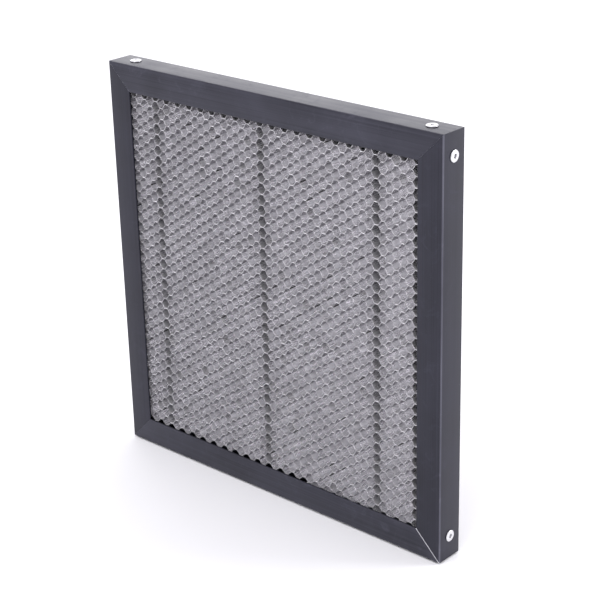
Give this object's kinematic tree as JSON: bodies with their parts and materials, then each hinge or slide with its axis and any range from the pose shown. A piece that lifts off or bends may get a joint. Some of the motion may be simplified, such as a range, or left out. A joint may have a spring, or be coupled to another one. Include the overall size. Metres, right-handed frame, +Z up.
{
  "type": "honeycomb laser bed",
  "caption": "Square honeycomb work bed for a laser cutter: hexagonal aluminium foil core in a mitred black aluminium channel frame, riveted at the corners.",
  "frame": {"origin": "on the ground under the middle of the bed, which stands upright on its bottom rail", "axes": "-Y out of the working face, +X to the right as the working face is looked at, +Z up along the side rails"},
  "size_m": [0.3022, 0.022, 0.3022],
  "materials": {
    "frame": "black anodised, satin",
    "corner_key": "plain cast",
    "rivet": "bright, plain",
    "rivet_pin": "plain, snapped end",
    "support_strip": "zinc plated, dull grey",
    "honeycomb": "bare foil, bright cut edges"
  },
  "bodies": {
    "root": {"frame_rail_top": "frame", "frame_rail_right": "frame", "frame_rail_bottom": "frame", "frame_rail_left": "frame", "corner_key_top_right": "corner_key", "corner_key_bottom_right": "corner_key", "corner_key_bottom_left": "corner_key", "corner_key_top_left": "corner_key", "rivet_top_left": "rivet", "rivet_top_right": "rivet", "rivet_right_top": "rivet", "rivet_right_bottom": "rivet", "rivet_bottom_right": "rivet", "rivet_bottom_left": "rivet", "rivet_left_bottom": "rivet", "rivet_left_top": "rivet", "rivet_pin_top_left": "rivet_pin", "rivet_pin_top_right": "rivet_pin", "rivet_pin_right_top": "rivet_pin", "rivet_pin_right_bottom": "rivet_pin", "rivet_pin_bottom_right": "rivet_pin", "rivet_pin_bottom_left": "rivet_pin", "rivet_pin_left_bottom": "rivet_pin", "rivet_pin_left_top": "rivet_pin", "support_strip_left": "support_strip", "support_strip_middle": "support_strip", "support_strip_right": "support_strip", "honeycomb_core": "honeycomb"}
  },
  "joints": []
}
